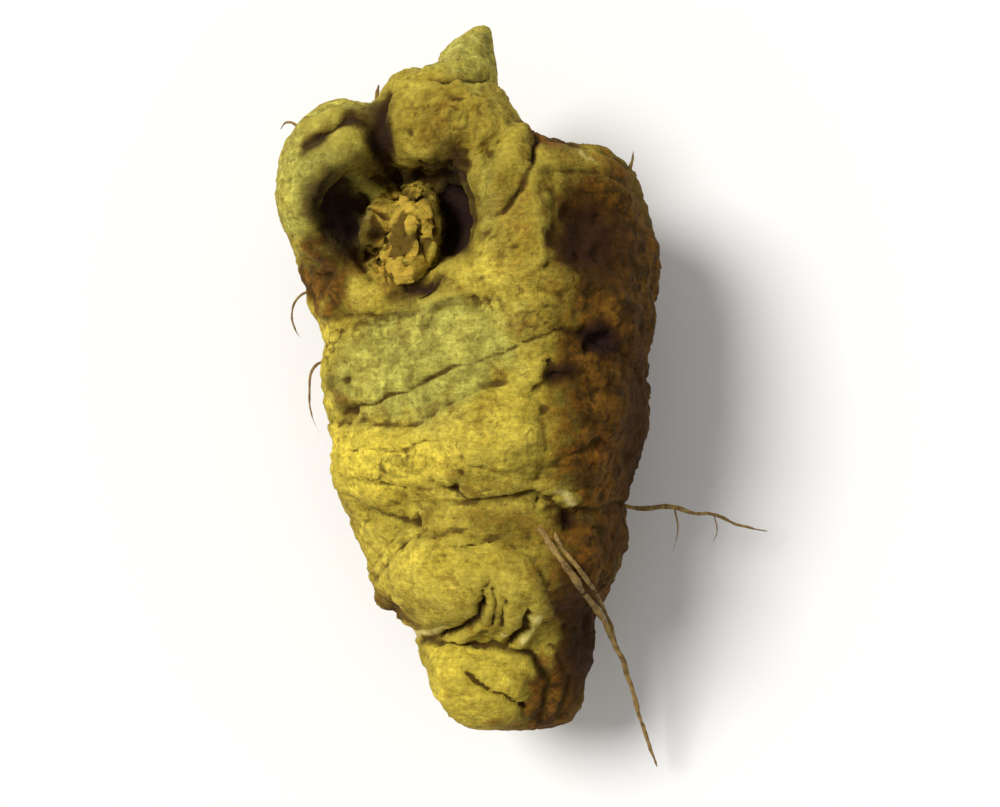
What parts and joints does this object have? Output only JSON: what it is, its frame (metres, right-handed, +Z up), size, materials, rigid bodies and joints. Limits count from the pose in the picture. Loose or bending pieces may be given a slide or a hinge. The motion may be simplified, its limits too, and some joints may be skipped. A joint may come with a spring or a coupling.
{
  "type": "black turmeric rhizome",
  "caption": "Whole dried rhizome of black turmeric lying on its side, tapered and ringed, with a lobed crown, the scar and torn stub of its shoot, an end bud and wiry roots.",
  "frame": {"origin": "on the surface that the rhizome lies on, under the middle of its outline, roots included", "axes": "+Z up, +Y along the rhizome towards its crown, +X to the right seen from above with the crown away"},
  "size_m": [0.0406, 0.0594, 0.0259],
  "materials": {
    "rhizome_skin": "dull, dusty olive yellow skin with brown flanks, fine sheath lines and dark pits",
    "root_skin": "dull wrinkled brown root skin"
  },
  "bodies": {
    "root": {"rhizome": "rhizome_skin", "root_long": "root_skin", "root_wiry": "root_skin", "hair_root_upper": "root_skin", "hair_root_lower": "root_skin"}
  },
  "joints": []
}
